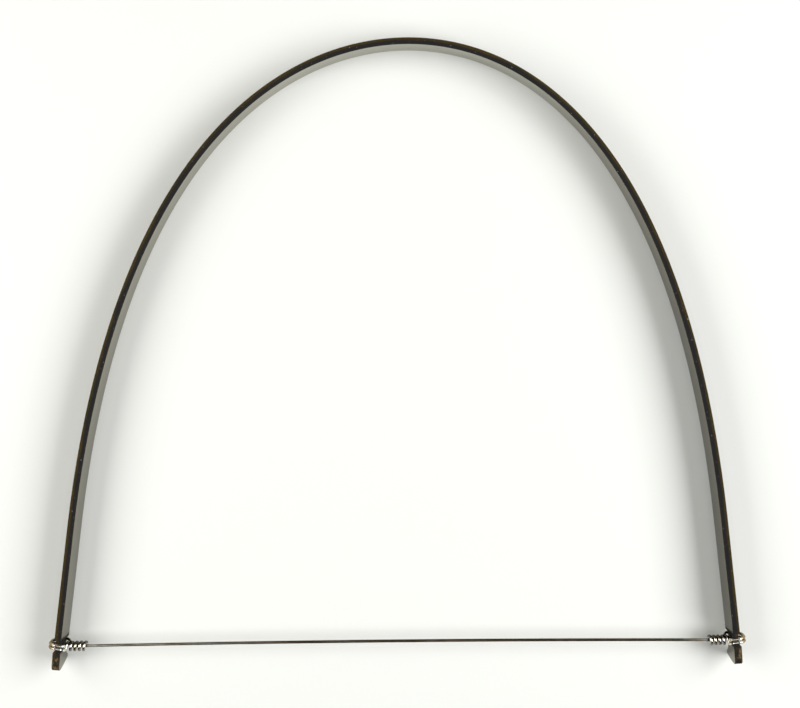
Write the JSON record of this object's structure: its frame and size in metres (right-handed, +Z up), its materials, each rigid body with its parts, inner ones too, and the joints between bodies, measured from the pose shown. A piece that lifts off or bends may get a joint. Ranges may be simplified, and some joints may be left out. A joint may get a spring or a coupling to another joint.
{
  "type": "clay cutting bow",
  "caption": "Clay cutting bow: a flat steel strip bent to a tall arch, with a thin steel wire stretched across its open end to slice clay.",
  "frame": {"origin": "under the middle of the whole bow, on the surface that it lies on", "axes": "+X along the cutting wire, to the right seen from above with the crown of the arch away from the viewer; +Y from the wire to the crown; +Z up, along the width of the strip"},
  "size_m": [0.184, 0.164, 0.01],
  "materials": {
    "strip_steel": "oil-blackened spring steel, semi-gloss, with browned worn edges and tips",
    "wire_steel": "drawn music wire, bright with a light brown tarnish"
  },
  "bodies": {
    "root": {"bow_strip": "strip_steel", "cutting_wire": "wire_steel"}
  },
  "joints": []
}
